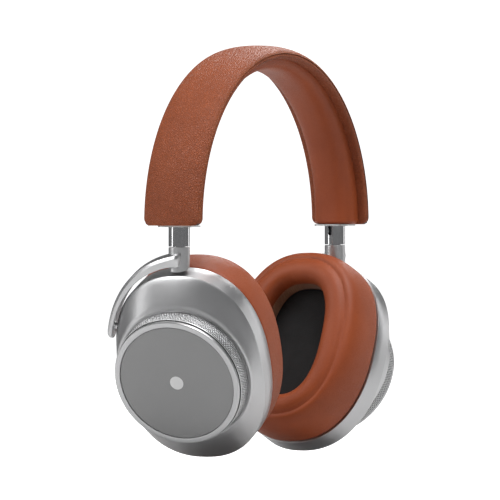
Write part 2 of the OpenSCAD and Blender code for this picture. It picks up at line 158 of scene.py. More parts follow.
def buildWeaveGroup():
    # plain weave from two crossing waves on a piece's own UV map, in threads per unit
    group, given, out = newGroup(
        "plainWeave", [("Threads", "Float", 900.0)], [("Height", "Float"), ("Holes", "Float")])
    place = addNode(group, "UVMap", uv_map="weave")
    split = addNode(group, "SeparateXYZ", {0: place.outputs[0]})
    waves = []
    for axis in ("X", "Y"):
        turns = maths(group, "MULTIPLY", split.outputs[axis], given["Threads"])
        waves.append(maths(group, "SINE", maths(group, "MULTIPLY", turns, math.tau)))
    height = maths(group, "MULTIPLY", waves[0], waves[1])
    lifted = maths(group, "MULTIPLY", maths(group, "ADD", height, 1.0), 0.5)
    group.links.new(lifted, out["Height"])
    group.links.new(maths(group, "LESS_THAN", lifted, 0.3), out["Holes"])
    return group


groups = {"grain": buildGrainGroup(), "tone": buildToneGroup(), "wear": buildWearGroup(),
          "weave": buildWeaveGroup()}
print("shader groups built")


def newMaterial(name, **plain):
    # a material with its Principled shader, its plain values set, and Object coordinates
    material = bpy.data.materials.new(name)
    material.use_nodes = True
    tree = material.node_tree
    shader = tree.nodes["Principled BSDF"]
    for key, value in plain.items():
        shader.inputs[key].default_value = value
    place = tree.nodes.new("ShaderNodeTexCoord").outputs["Object"]
    return material, tree, shader, place


def addGroup(tree, key, values):
    node = tree.nodes.new("ShaderNodeGroup")
    node.node_tree = groups[key]
    for label, value in values.items():
        if isinstance(value, bpy.types.NodeSocket):
            tree.links.new(value, node.inputs[label])
        else:
            node.inputs[label].default_value = value
    return node.outputs


def addBump(tree, shader, height, strength, distance):
    bump = addNode(tree, "Bump", {"Height": height, "Strength": strength, "Distance": distance})
    tree.links.new(bump.outputs[0], shader.inputs["Normal"])


def makeLeather(name, look):
    # dyed leather: two tones, creases darkened with painted shade, paler worn edges, grain in the bump
    material, tree, shader, place = newMaterial(
        name, **{"Specular IOR Level": look["gloss"], "Sheen Weight": look["sheen"], "Sheen Roughness": 0.45,
                 "Sheen Tint": (1.0, 0.8, 0.68, 1.0)})
    tone = addGroup(tree, "tone", {"Vector": place, "First": look["dark"], "Second": look["light"],
                                   "Scale": look["toneScale"], "Contrast": 1.6})
    grain = addGroup(tree, "grain", {"Vector": place, "Pebbles": look["pebbles"], "Soften": look["soften"]})
    wear = addGroup(tree, "wear", {"Vector": place, "Start": 0.53, "Width": 0.08})
    # painted shade: the grain's creases are darkened towards the crease shade colour
    creaseShadeShare = maths(tree, "MULTIPLY", grain["Creases"], look["creaseShade"])
    toneWithCreaseShade = mixColour(tree, creaseShadeShare, tone["Color"], look["creaseShadeColour"])
    worn = mixColour(tree, maths(tree, "MULTIPLY", wear["Mask"], look["wear"]), toneWithCreaseShade, look["worn"])
    tree.links.new(worn, shader.inputs["Base Color"])
    rough = addNode(tree, "MapRange", {0: grain["Creases"], 1: 0.0, 2: 1.0, 3: look["rough"],
                                       4: look["rough"] + 0.15})
    tree.links.new(rough.outputs[0], shader.inputs["Roughness"])
    addBump(tree, shader, grain["Height"], look["bump"], 0.0003)
    return material


# the crease colour and creaseShade are painted shade in the grain's creases
bandLeatherLook = {
    "dark": (0.235, 0.050, 0.013, 1), "light": (0.335, 0.080, 0.024, 1), "creaseShadeColour": (0.10, 0.021, 0.006, 1),
    "worn": (0.38, 0.15, 0.07, 1), "toneScale": 55.0, "pebbles": 1050.0, "soften": 0.8,
    "creaseShade": 0.45, "wear": 0.3, "rough": 0.43, "gloss": 0.32, "sheen": 0.02, "bump": 0.8}
padLeatherLook = {
    "dark": (0.26, 0.050, 0.012, 1), "light": (0.36, 0.078, 0.022, 1), "creaseShadeColour": (0.13, 0.024, 0.006, 1),
    "worn": (0.40, 0.16, 0.08, 1), "toneScale": 38.0, "pebbles": 1700.0, "soften": 0.5,
    "creaseShade": 0.25, "wear": 0.25, "rough": 0.40, "gloss": 0.32, "sheen": 0.02, "bump": 0.25}


def makeMetal(name, look):
    # blasted or polished metal: faint cloudy tone, fine grain in the roughness and bump, brighter rubbed edges
    material, tree, shader, place = newMaterial(name, Metallic=1.0)
    tone = addGroup(tree, "tone", {"Vector": place, "First": look["dark"], "Second": look["light"],
                                   "Scale": 60.0, "Contrast": 1.2})
    wear = addGroup(tree, "wear", {"Vector": place, "Start": 0.54, "Width": 0.06})
    share = maths(tree, "MULTIPLY", wear["Mask"], look["wear"])
    tree.links.new(mixColour(tree, share, tone["Color"], look["edge"]), shader.inputs["Base Color"])
    fine = addNode(tree, "TexNoise", {"Vector": place, "Scale": look["grainScale"], "Detail": 2.0})
    rough = addNode(tree, "MapRange", {0: fine.outputs["Fac"], 1: 0.3, 2: 0.7, 3: look["rough"] - look["spread"],
                                       4: look["rough"] + look["spread"]})
    tree.links.new(rough.outputs[0], shader.inputs["Roughness"])
    addBump(tree, shader, fine.outputs["Fac"], look["bump"], 0.00005)
    return material


satinLook = {"dark": (0.50, 0.50, 0.505, 1), "light": (0.56, 0.56, 0.565, 1), "edge": (0.75, 0.75, 0.75, 1),
             "wear": 0.5, "grainScale": 9000.0, "rough": 0.33, "spread": 0.05, "bump": 0.25}
steelLook = {"dark": (0.66, 0.66, 0.67, 1), "light": (0.72, 0.72, 0.73, 1), "edge": (0.85, 0.85, 0.85, 1),
             "wear": 0.4, "grainScale": 2500.0, "rough": 0.11, "spread": 0.015, "bump": 0.01}
platedLook = {"dark": (0.3, 0.3, 0.31, 1), "light": (0.4, 0.4, 0.41, 1), "edge": (0.6, 0.6, 0.6, 1),
              "wear": 0.5, "grainScale": 5000.0, "rough": 0.4, "spread": 0.08, "bump": 0.2}
foilLook = {"dark": (0.42, 0.42, 0.43, 1), "light": (0.55, 0.55, 0.56, 1), "edge": (0.7, 0.7, 0.7, 1),
            "wear": 0.3, "grainScale": 900.0, "rough": 0.35, "spread": 0.1, "bump": 0.5}


def makePlastic(name, look):
    # moulded plastic: spark-eroded grain, slightly uneven roughness, paler worn edges
    material, tree, shader, place = newMaterial(name, **{"Specular IOR Level": look["gloss"]})
    tone = addGroup(tree, "tone", {"Vector": place, "First": look["dark"], "Second": look["light"],
                                   "Scale": 90.0, "Contrast": 1.5})
    wear = addGroup(tree, "wear", {"Vector": place, "Start": 0.54, "Width": 0.06})
    share = maths(tree, "MULTIPLY", wear["Mask"], 0.4)
    tree.links.new(mixColour(tree, share, tone["Color"], look["edge"]), shader.inputs["Base Color"])
    fine = addNode(tree, "TexNoise", {"Vector": place, "Scale": look["grainScale"], "Detail": 3.0})
    rough = addNode(tree, "MapRange", {0: fine.outputs["Fac"], 1: 0.3, 2: 0.7, 3: look["rough"] - 0.05,
                                       4: look["rough"] + 0.05})
    tree.links.new(rough.outputs[0], shader.inputs["Roughness"])
    addBump(tree, shader, fine.outputs["Fac"], look["bump"], 0.00008)
    return material


darkPlasticLook = {"dark": (0.014, 0.014, 0.015, 1), "light": (0.024, 0.024, 0.025, 1),
                   "edge": (0.07, 0.07, 0.07, 1), "gloss": 0.4, "grainScale": 4000.0, "rough": 0.5, "bump": 0.4}
badgeLook = {"dark": (0.62, 0.62, 0.62, 1), "light": (0.72, 0.72, 0.72, 1), "edge": (0.85, 0.85, 0.85, 1),
             "gloss": 0.5, "grainScale": 3000.0, "rough": 0.35, "bump": 0.1}
membraneLook = {"dark": (0.16, 0.16, 0.17, 1), "light": (0.24, 0.24, 0.25, 1), "edge": (0.4, 0.4, 0.4, 1),
                "gloss": 0.7, "grainScale": 700.0, "rough": 0.2, "bump": 0.2}
boardLook = {"dark": (0.008, 0.06, 0.025, 1), "light": (0.014, 0.1, 0.04, 1), "edge": (0.2, 0.3, 0.1, 1),
             "gloss": 0.6, "grainScale": 1200.0, "rough": 0.3, "bump": 0.3}
glassLook = {"dark": (0.215, 0.215, 0.215, 1), "light": (0.235, 0.235, 0.235, 1), "edge": (0.4, 0.4, 0.4, 1),
             "gloss": 0.5, "grainScale": 40.0, "rough": 0.1, "bump": 0.0}


def makeGlass(name, look):
    # grey backed glass: an opaque grey layer under a clear, faintly smeared gloss
    material, tree, shader, place = newMaterial(
        name, **{"IOR": 1.5, "Specular IOR Level": 0.5, "Coat Weight": 0.6, "Coat Roughness": 0.03})
    tone = addGroup(tree, "tone", {"Vector": place, "First": look["dark"], "Second": look["light"],
                                   "Scale": 25.0, "Contrast": 1.0})
    tree.links.new(tone["Color"], shader.inputs["Base Color"])
    smear = addNode(tree, "TexNoise", {"Vector": place, "Scale": look["grainScale"], "Detail": 6.0})
    rough = addNode(tree, "MapRange", {0: smear.outputs["Fac"], 1: 0.35, 2: 0.75, 3: 0.06, 4: 0.14})
    tree.links.new(rough.outputs[0], shader.inputs["Roughness"])
    return material


def makeCloth(name, look):
    # woven cloth: threads in the bump, painted shade in the gaps between them, fuzz as sheen
    material, tree, shader, place = newMaterial(
        name, **{"Sheen Weight": look["sheen"], "Sheen Roughness": 0.5, "Specular IOR Level": 0.2})
    tone = addGroup(tree, "tone", {"Vector": place, "First": look["dark"], "Second": look["light"],
                                   "Scale": 120.0, "Contrast": 1.5})
    weave = addGroup(tree, "weave", {"Threads": look["threads"]})
    # painted shade: the gaps of the weave are darkened towards the gap shade colour
    holes = maths(tree, "MULTIPLY", weave["Holes"], look["holes"])
    tree.links.new(mixColour(tree, holes, tone["Color"], look["gapShadeColour"]), shader.inputs["Base Color"])
    rough = addNode(tree, "MapRange", {0: weave["Height"], 1: 0.0, 2: 1.0, 3: 0.95, 4: 0.75})
    tree.links.new(rough.outputs[0], shader.inputs["Roughness"])
    addBump(tree, shader, weave["Height"], 0.7, 0.0002)
    return material


# the darkest colour of each cloth is painted shade for the gaps between its threads
blackClothLook = {"dark": (0.006, 0.006, 0.006, 1), "light": (0.014, 0.014, 0.015, 1), "gapShadeColour": (0.001, 0.001, 0.001, 1),
                  "threads": 1200.0, "holes": 0.8, "sheen": 0.15}
linerLook = {"dark": (0.24, 0.11, 0.055, 1), "light": (0.34, 0.17, 0.09, 1), "gapShadeColour": (0.05, 0.022, 0.012, 1),
             "threads": 800.0, "holes": 0.75, "sheen": 0.2}

materials = {
    "leather": makeLeather("bandLeather", bandLeatherLook),
    "leather_pad": makeLeather("padLeather", padLeatherLook),
    "satin_aluminium": makeMetal("satinAluminium", satinLook),
    "polished_steel": makeMetal("polishedSteel", steelLook),
    "spring_steel": makeMetal("springSteel", platedLook),
    "magnet_steel": makeMetal("magnetSteel", platedLook),
    "battery_foil": makeMetal("batteryFoil", foilLook),
    "tinted_glass": makeGlass("greyGlass", glassLook),
    "badge_print": makePlastic("badgePrint", badgeLook),
    "black_plastic": makePlastic("blackPlastic", darkPlasticLook),
    "membrane": makePlastic("membraneFilm", membraneLook),
    "board_green": makePlastic("boardLacquer", boardLook),
    "black_cloth": makeCloth("driverCloth", blackClothLook),
    "liner_mesh": makeCloth("linerMesh", linerLook),
}
for part in frame["record"]["subparts"]:
    node = frame["nodes"][part["node"]]
    node.data.materials.clear()
    node.data.materials.append(materials[part["material_slot"]])
print("materials built:", len(materials))


def gridFaces(rows, columns, wrapRows, wrapColumns):
    # quads between neighbouring rows and columns of a grid of points
    i = np.arange(rows if wrapRows else rows - 1)[:, None]
    j = np.arange(columns if wrapColumns else columns - 1)[None, :]
    nextI, nextJ = (i + 1) % rows, (j + 1) % columns
    corners = (i * columns + j, nextI * columns + j, nextI * columns + nextJ, i * columns + nextJ)
    return np.stack(corners, -1).reshape(-1, 4)


def makeMesh(name, points, faces, material, weld=True, sharp=35.0):
    # a mesh object from points in metres, its faces turned outward and its smooth shading split at sharp edges
    mesh = bpy.data.meshes.new(name)
    mesh.from_pydata(np.asarray(points, float).reshape(-1, 3).tolist(), [], [list(map(int, f)) for f in faces])
    work = bmesh.new()
    work.from_mesh(mesh)
    if weld:
        bmesh.ops.remove_doubles(work, verts=work.verts, dist=2e-6)
        bmesh.ops.dissolve_degenerate(work, dist=1e-7, edges=work.edges)
    bmesh.ops.recalc_face_normals(work, faces=work.faces)
    work.to_mesh(mesh)
    work.free()
    mesh.shade_smooth()
    mesh.set_sharp_from_angle(angle=math.radians(sharp))
    piece = bpy.data.objects.new(name, mesh)
    bpy.context.scene.collection.objects.link(piece)
    mesh.materials.append(materials[material])
    return piece


def place(piece, body, slot, *nodes):
    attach(piece, body)
    if nodes:
        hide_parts(*nodes)
    return piece


def smoothLoop(points, count):
    # closed uniform cubic B-spline through the neighbourhood of its control points, evaluated all at once
    control = np.asarray(points, float)
    total = len(control)
    t = np.arange(count) * total / count
    base = np.floor(t).astype(int)
    u = (t - base)[:, None]
    weights = ((1 - u) ** 3 / 6, (3 * u ** 3 - 6 * u ** 2 + 4) / 6, (-3 * u ** 3 + 3 * u ** 2 + 3 * u + 1) / 6,
               u ** 3 / 6)
    return sum(w * control[(base + k - 1) % total] for k, w in enumerate(weights))


def ripple(points, seed, scale, waves=7):
    # soft pseudo-random height in -1..1: a sum of plane sine waves with seeded directions
    rng = np.random.default_rng(seed)
    flat = points.reshape(-1, 3)
    height = np.zeros(len(flat))
    for _ in range(waves):
        direction = rng.normal(size=3)
        direction *= rng.uniform(0.5, 1.5) * scale / np.linalg.norm(direction)
        height += np.sin(flat @ direction + rng.uniform(0, math.tau))
    return (height / waves).reshape(points.shape[:-1])


bandShape = {
    "crownRadius": 80.9, "crownHalfAngle": 18.0, "sideRadius": 80.9, "seamRise": 8.5, "drop": 82.0,
    "width": 30.7, "domeHeight": 3.4, "coverSkin": 1.1, "coverEdge": -0.2, "liningTop": -0.25,
    "liningLow": -3.1, "padWidth": 21.7, "padAtCrown": 8.5, "padAtEnd": 13.4, "cornerRadius": 3.4,
    "endLift": 0.02, "pathSteps": 241}


def bandPath(steps):
    # stations along the seam: arc length from the crown, point and outward normal in the plane of the band,
    # and the distance to the nearer end; a top arc runs into a side arc at each hand
    s = bandShape
    half = math.radians(s["crownHalfAngle"])
    crownZ = s["seamRise"] - s["crownRadius"]
    sideX = (s["crownRadius"] - s["sideRadius"]) * math.sin(half)
    sideZ = crownZ + (s["crownRadius"] - s["sideRadius"]) * math.cos(half)
    endZ = s["seamRise"] - s["drop"] + s["endLift"]
    endAngle = math.acos((endZ - sideZ) / s["sideRadius"])
    crownLength = s["crownRadius"] * half
    length = crownLength + s["sideRadius"] * (endAngle - half)
    # stations crowd towards the ends, where the corners are round
    t = np.linspace(-1, 1, steps)
    along = np.sign(t) * length * (1 - (1 - np.abs(t)) ** 1.35)
    far = np.abs(along)
    onCrown = far <= crownLength
    angle = np.where(onCrown, far / s["crownRadius"], half + (far - crownLength) / s["sideRadius"])
    radius = np.where(onCrown, s["crownRadius"], s["sideRadius"])
    x = np.where(onCrown, 0.0, sideX) + radius * np.sin(angle)
    z = np.where(onCrown, crownZ, sideZ) + radius * np.cos(angle)
    sign = np.sign(along)
    centre = np.stack([x * sign, z], -1)
    normal = np.stack([np.sin(angle) * sign, np.cos(angle)], -1)
    return centre, normal, length - far, far / length


def sweepBand(name, section, material, nodes, sharp=35.0):
    # carries a closed section (outward distance, place across) along the band and closes both ends;
    # section is given as whole arrays over stations and section points
    centre, normal, _, _ = bandPath(bandShape["pathSteps"])
    outward, across = section
    x = centre[:, :1] + normal[:, :1] * outward
    z = centre[:, 1:] + normal[:, 1:] * outward
    points = np.stack([x, across, z], -1)
    rows, columns = points.shape[:2]
    faces = gridFaces(rows, columns, False, True).tolist()
    flat = points.reshape(-1, 3)
    # each end is closed by a fan
    for row, order in ((0, -1), (rows - 1, 1)):
        hub = len(flat)
        flat = np.vstack([flat, points[row].mean(0)])
        ring = row * columns + np.arange(columns)
        faces += [[a, b, hub] for a, b in zip(ring[::order], np.roll(ring[::order], -1))]
    piece = makeMesh(name, flat * mm, faces, material, sharp=sharp)
    return place(piece, "headband", "leather" if material == "leather" else "leather_pad", *nodes)


def roundedHalfWidth(half, radius, toEnd):
    # half width that follows a quarter circle near each end
    near = np.clip(toEnd / radius, 0, 1)
    return half - radius * (1 - np.sqrt(1 - (1 - near) ** 2))


def buildCover():
    # domed shell over the band: height = dome * (1 - |t|^2.3)^(1/1.9) outside, and a lower dome inside
    s = bandShape
    centre, _, toEnd, _ = bandPath(s["pathSteps"])
    # t runs across the band from -1 to 1
    t = np.linspace(-1, 1, 57)
    t = np.sign(t) * np.abs(t) ** 0.8
    half = roundedHalfWidth(s["width"] / 2, s["cornerRadius"], toEnd)[:, None]
    # dome: a squarish crown that turns down at the edges, thinning into the wrapped ends
    lift = (0.93 + 0.07 * np.clip(toEnd / 1.2, 0, 1) ** 0.5)[:, None]
    outer = (s["domeHeight"] + 0.5) * (1 - np.abs(t) ** 2.3) ** (1 / 1.9) * lift - 0.5
    skinHalf = half - s["coverSkin"]
    inner = (s["domeHeight"] - 0.3) * (1 - np.abs(t) ** 2.3) ** (1 / 1.9) * lift - 0.8
    low = s["coverEdge"]
    edge = np.full((len(half), 1), low)
    outward = np.concatenate([edge, outer, edge, edge, inner[:, ::-1], edge], 1)
    across = np.concatenate(
        [-half + 0.25, half * t, half - 0.25, skinHalf, (skinHalf * t)[:, ::-1], -skinHalf], 1)
    # padding under the leather is never quite even
    wave = ripple(np.stack([np.broadcast_to(centre[:, :1], across.shape), across,
                            np.broadcast_to(centre[:, 1:], across.shape)], -1), 4, 0.12)
    outward = outward + 0.10 * wave * (outward > 0)
    return sweepBand("bandCover", (outward, across), "leather", ["band_cover"])


def buildLining():
    # flat strip with rounded edges: a full superellipse across, thinned by a parabola at each edge
    s = bandShape
    _, _, toEnd, _ = bandPath(s["pathSteps"])
    half = roundedHalfWidth(s["width"] / 2 + 0.1, s["cornerRadius"], toEnd)[:, None]
    middle = (s["liningTop"] + s["liningLow"]) / 2
    depth = (s["liningTop"] - s["liningLow"]) / 2
    a = np.linspace(0, math.tau, 65)[:-1]
    c, d = np.cos(a), np.sin(a)
    across = np.sign(c) * np.abs(c) ** 0.25 * half
    rounded = 1 - np.clip((np.abs(across) - (half - depth)) / depth, 0, 1) ** 2
    outward = middle + depth * np.sign(d) * np.sqrt(np.clip(rounded, 0, 1)) * np.abs(d) ** 0.15
    return sweepBand("bandLining", (outward, across), "leather", ["band_lining"])


def buildPad():
    # crowned pad below the lining: depth = thickness * (1 - |t|^3)^(1/2.4), thicker towards the ends
    s = bandShape
    centre, _, toEnd, share = bandPath(s["pathSteps"])
    t = np.linspace(-1, 1, 61)
    t = np.sign(t) * np.abs(t) ** 0.75
    half = roundedHalfWidth(s["padWidth"] / 2, 2.0, toEnd)[:, None]
    thick = (s["padAtCrown"] + (s["padAtEnd"] - s["padAtCrown"]) * share ** 2 + s["liningLow"])[:, None]
    thick = thick * (0.9 + 0.1 * np.clip(toEnd / 1.2, 0, 1) ** 0.5)[:, None]
    crown = (1 - np.abs(t) ** 3.0) ** (1 / 2.4)
    bulge = -thick * crown
    across = np.broadcast_to(half * t, bulge.shape)
    wave = ripple(np.stack([np.broadcast_to(centre[:, :1], across.shape), across,
                            np.broadcast_to(centre[:, 1:], across.shape)], -1), 9, 0.16)
    bulge = bulge + 0.13 * wave * crown
    outward = s["liningLow"] + 0.05 + bulge
    base = np.full((len(half), 1), s["liningLow"] + 0.3)
    outward = np.concatenate([base, outward, base], 1)
    across = np.concatenate([-half, across, half], 1)
    piece = sweepBand("bandPad", (outward, across), "leather_pad", ["band_pad"])
    return piece


def buildEndFlap(side):
    # thin leather plate that closes the end of the cover: across the band, from an inner edge that keeps clear of
    # the post out to the cover's crowned outline
    s = bandShape
    centre, _, _, _ = bandPath(s["pathSteps"])
    post = next(j for j in frame["joints"] if j["name"] == side + "_swivel")["pos_m"]
    hand = 1 if post[0] > 0 else -1
    endX, endZ = abs(centre[-1, 0]), centre[-1, 1]
    half = s["width"] / 2 - s["cornerRadius"] + 0.15
    count, clearance = 49, 5.6
    y = np.sin(np.linspace(-1, 1, count) * math.pi / 2) * half
    roundPost = np.sqrt(np.clip(clearance ** 2 - y ** 2, 0, None))
    low = np.maximum(s["liningTop"] - 1.0, abs(post[0]) / mm - endX + roundPost)
    high = (s["domeHeight"] + 0.5) * (1 - np.abs(y / (s["width"] / 2)) ** 2.3) ** (1 / 1.9) - 0.75
    x = endX + np.stack([low, high, high, low], -1)
    z = endZ + np.array([-0.12, -0.12, 0.4, 0.4])[None, :] + 0 * x
    points = np.stack([x * hand, np.broadcast_to(y[:, None], x.shape), z], -1)
    last = 4 * (count - 1)
    faces = gridFaces(count, 4, False, True).tolist() + [[3, 2, 1, 0], [last, last + 1, last + 2, last + 3]]
    piece = makeMesh(side + "EndFlap", points * mm, faces, "leather")
    return place(piece, "headband", "leather")


buildCover()
buildLining()
for side in sides:
    buildEndFlap(side)
buildPad()
print("headband built")


cupShape = {
    "capTop": 29.0, "capRimMiddle": 29.65, "rimHalfWidth": 36.5, "rimHalfHeight": 46.5, "power": 2.3,
    "rimDepth": 11.0, "lipHeight": 19.0, "lipRadius": 33.7, "wall": 2.0, "meshRadius": 31.6,
    "capRadius": 31.0, "capBase": 27.0, "glassRadius": 28.25, "glassTop": 28.7, "badgeRadius": 3.3}


def cupFrame(side):
    # origin and the outward, rearward and upward directions of a cup, from its cap face and its tilt axis
    mount = next(m for m in frame["record"]["mounts"] if m["name"] == side + "_cap_face")
    tilt = next(j for j in frame["joints"] if j["name"] == side + "_tilt")
    out = np.array(mount["axis"], float)
    rear = np.array(tilt["axis"], float)
    rear = rear * (1 if rear[1] > 0 else -1)
    up = np.cross(out, rear)
    up = up * (1 if up[2] > 0 else -1)
    origin = np.array(mount["pos_m"], float) / mm - cupShape["capTop"] * out - cupShape["capRimMiddle"] * up
    return origin, out, rear, up


cups = {side: cupFrame(side) for side in sides}


def toCup(side, out, rear, up):
    # points given as outward, rearward and upward distances from the middle of the back of the rim
    origin, o, r, u = cups[side]
    out, rear, up = np.broadcast_arrays(out, rear, up)
    return origin + out[..., None] * o + rear[..., None] * r + up[..., None] * u


def oval(angle, halfWidth, halfHeight, power):
    # outline fuller than an ellipse: |y/w|^p + |z/h|^p = 1
    c, s = np.cos(angle), np.sin(angle)
    return (halfWidth * np.sign(c) * np.abs(c) ** (2 / power), halfHeight * np.sign(s) * np.abs(s) ** (2 / power))


def evenAngles(count, halfWidth, halfHeight, power):
    # angles that space the points of an oval evenly along its outline
    fine = np.linspace(0, math.tau, 4001)
    y, z = oval(fine, halfWidth, halfHeight, power)
    length = np.concatenate([[0], np.cumsum(np.hypot(np.diff(y), np.diff(z)))])
    return np.interp(np.arange(count) / count * length[-1], length, fine)


def lathe(side, name, profile, material, slot, nodes, steps=160, sharp=30.0):
    # closed profile of (radius, outward distance) turned about the cup's axis
    profile = np.asarray(profile, float)
    a = np.arange(steps) / steps * math.tau
    points = toCup(side, profile[:, 1][None, :], profile[:, 0][None, :] * np.cos(a)[:, None],
                   profile[:, 0][None, :] * np.sin(a)[:, None])
    piece = makeMesh(name, points * mm, gridFaces(steps, len(profile), True, True), material, sharp=sharp)
    return place(piece, side + "_cup", slot, *nodes)


def buildHousing(side):
    # loft through stations (outward, inset, share of circle): up the outside and down the inside; each outline is
    # oval * (1 - share) + circle * share
    s = cupShape
    w, h, p = s["rimHalfWidth"], s["rimHalfHeight"], s["power"]
    drum = np.linspace(0, 1, 15)
    rise = s["lipHeight"] - s["rimDepth"]
    outside = [(0.0, -0.5, 0.0), (0.12, -0.12, 0.0), (0.5, 0.0, 0.0), (s["rimDepth"] / 2, 0.0, 0.0),
               (s["rimDepth"] - 0.35, 0.0, 0.0), (s["rimDepth"], -0.25, 0.0)]
    outside += [(s["rimDepth"] + rise * t, -0.25 * (1 - t), t ** 1.12) for t in drum[1:-1]]
    outside += [(s["lipHeight"] - 0.3, 0.0, 0.985), (s["lipHeight"], -0.35, 1.0), (s["lipHeight"], -1.2, 1.0),
                (s["lipHeight"] - 0.15, -1.6, 1.0), (s["lipHeight"] - 0.9, -1.75, 1.0),
                (s["lipHeight"] - 0.9, -5.5, 1.0),
                (s["lipHeight"] - 2.0, -5.5, 1.0), (s["lipHeight"] - 2.0, -2.6, 1.0)]
    outside += [(s["rimDepth"] - 1 + (rise - 1) * t, -s["wall"], t ** 1.12) for t in drum[-2:0:-1]]
    outside += [(s["rimDepth"] - 1, -s["wall"], 0.0), (0.3, -s["wall"], 0.0), (0.0, -s["wall"] + 0.3, 0.0)]
    station = np.array(outside)
    a = evenAngles(240, w, h, p)
    inset, circle = station[:, 1][None, :], station[:, 2][None, :]
    ovalY, ovalZ = oval(a[:, None], w + inset, h + inset, p)
    turn = np.arctan2(ovalZ, ovalY)
    roundY = (s["lipRadius"] + inset) * np.cos(turn)
    roundZ = (s["lipRadius"] + inset) * np.sin(turn)
    y = ovalY * (1 - circle) + roundY * circle
    z = ovalZ * (1 - circle) + roundZ * circle
    points = toCup(side, station[:, 0][None, :], y, z)
    piece = makeMesh(side + "Housing", points * mm, gridFaces(*y.shape, True, True), "satin_aluminium", sharp=24.0)
    return place(piece, side + "_cup", "satin_aluminium", side + "_housing")


meshLook = {"pitch": 1.32, "holeShare": 0.36, "rows": 6, "border": 0.5, "wall": 0.35}


def buildMeshRing(side):
    # perforated band: square cells, each with an eight-sided hole, every other row shifted by half a cell
    s = cupShape
    radius = s["meshRadius"]
    low, high = s["lipHeight"] - 0.9, s["capBase"]
    count = int(round(math.tau * radius / meshLook["pitch"]))
    rows = meshLook["rows"]
    bottom = s["lipHeight"] + meshLook["border"]
    rowHeight = (high - meshLook["border"] - bottom) / rows
    # one cell: corners and middles of its sides, then the hole, in units of the cell
    rim = np.array([(0, 0), (0.5, 0), (1, 0), (1, 0.5), (1, 1), (0.5, 1), (0, 1), (0, 0.5)])
    holeAngle = np.radians(np.arange(8) * 45 - 135)
    size = meshLook["holeShare"]
    stretch = meshLook["pitch"] / rowHeight
    hole = np.stack([0.5 + size * np.cos(holeAngle), 0.5 + size * np.sin(holeAngle) * stretch], -1)
    cell = np.concatenate([rim, hole])
    row, column = np.meshgrid(np.arange(rows), np.arange(count), indexing="ij")
    u = column[..., None] + 0.5 * (row[..., None] % 2) + cell[:, 0]
    v = bottom + rowHeight * (row[..., None] + cell[:, 1])
    k = np.arange(8)
    quads = np.stack([k, (k + 1) % 8, 8 + (k + 1) % 8, 8 + k], -1)
    cells = rows * count
    faces = (np.arange(cells)[:, None, None] * 16 + quads).reshape(-1, 4)
    # plain borders above and below, cut at every half cell to meet the holes' cells
    edge = np.arange(2 * count) / 2
    strips = [(low, bottom), (high - meshLook["border"], high)]
    borderU = np.concatenate([np.concatenate([edge, edge]) for _ in strips])
    borderV = np.concatenate([np.repeat(pair, 2 * count) for pair in strips])
    start = cells * 16
    borderFaces = [gridFaces(2, 2 * count, False, True) + start + i * 4 * count for i in range(2)]
    u = np.concatenate([u.ravel(), borderU])
    v = np.concatenate([v.ravel(), borderV])
    faces = np.concatenate([faces] + borderFaces)
    angle = u / count * math.tau
    outer = toCup(side, v, radius * np.cos(angle), radius * np.sin(angle))
    piece = makeMesh(side + "MeshRing", outer * mm, faces, "satin_aluminium", sharp=50.0)
    # the sheet's faces look outward before it gets its thickness
    check = piece.data.polygons[0]
    origin, out, _, _ = cups[side]
    fromAxis = np.array(check.center) / mm - origin
    fromAxis = fromAxis - out * (fromAxis @ out)
    if np.array(check.normal) @ fromAxis < 0:
        piece.data.flip_normals()
    solid = piece.modifiers.new("wall", "SOLIDIFY")
    solid.thickness = meshLook["wall"] * mm
    solid.offset = -1
    return place(piece, side + "_cup", "satin_aluminium", side + "_mesh_ring")


def buildShadeTube(side):
    # dark tube behind the perforations, standing in for the shade inside the cup seen through the holes; its wall
    # turned about the cup's axis
    profile = [(31.0, 18.2), (31.0, 26.9), (30.4, 26.9), (30.4, 18.2)]
    return lathe(side, side + "MeshShadeTube", profile, "black_plastic", "black_cloth", [], sharp=60.0)


def buildCapRing(side):
    # flat-topped ring with small rounds at its edges, turned about the cup's axis
    s = cupShape
    top, base, r = s["capTop"], s["capBase"], s["capRadius"]
    inner = r - 2.7
    profile = [(r - 0.25, base), (r, base + 0.2), (r, top - 0.55), (r - 0.1, top - 0.25), (r - 0.4, top - 0.05),
               (r - 0.7, top), (inner + 0.35, top), (inner + 0.12, top - 0.08), (inner + 0.05, top - 0.3),
               (inner + 0.05, base + 0.4), (inner - 2, base + 0.4), (inner - 2, base)]
    return lathe(side, side + "CapRing", profile, "satin_aluminium", "satin_aluminium", [side + "_cap_ring"], 200)


def buildGlass(side):
    # shallow disc with a polished edge, its middle welded shut
    s = cupShape
    top, r = s["glassTop"], s["glassRadius"]
    profile = [(0, top), (r * 0.3, top), (r * 0.7, top), (r - 0.5, top), (r - 0.2, top - 0.06), (r - 0.05, top - 0.2),
               (r - 0.05, top - 1.2), (r * 0.5, top - 1.2), (0, top - 1.2)]
    return lathe(side, side + "Glass", profile, "tinted_glass", "tinted_glass", [side + "_glass"], 200, 40.0)


def buildBadge(side):
    # plain round badge: a thin disc with a bevelled edge
    s = cupShape
    top, r = s["glassTop"] + 0.06, s["badgeRadius"]
    profile = [(0, top), (r - 0.15, top), (r, top - 0.04), (r, top - 0.3), (0, top - 0.3)]
    return lathe(side, side + "Badge", profile, "badge_print", "badge_print", [side + "_badge"], 64, 40.0)


for side in sides:
    buildHousing(side)
    buildMeshRing(side)
    buildShadeTube(side)
    buildCapRing(side)
    buildGlass(side)
    buildBadge(side)
print("housings built")


cushionShape = {
    "back": -0.45, "face": -23.8, "outHalfWidth": 36.0, "outHalfHeight": 46.0, "outPower": 2.3,
    "inHalfWidth": 18.5, "inHalfHeight": 30.0, "inPower": 2.6, "around": 300, "section": 96}

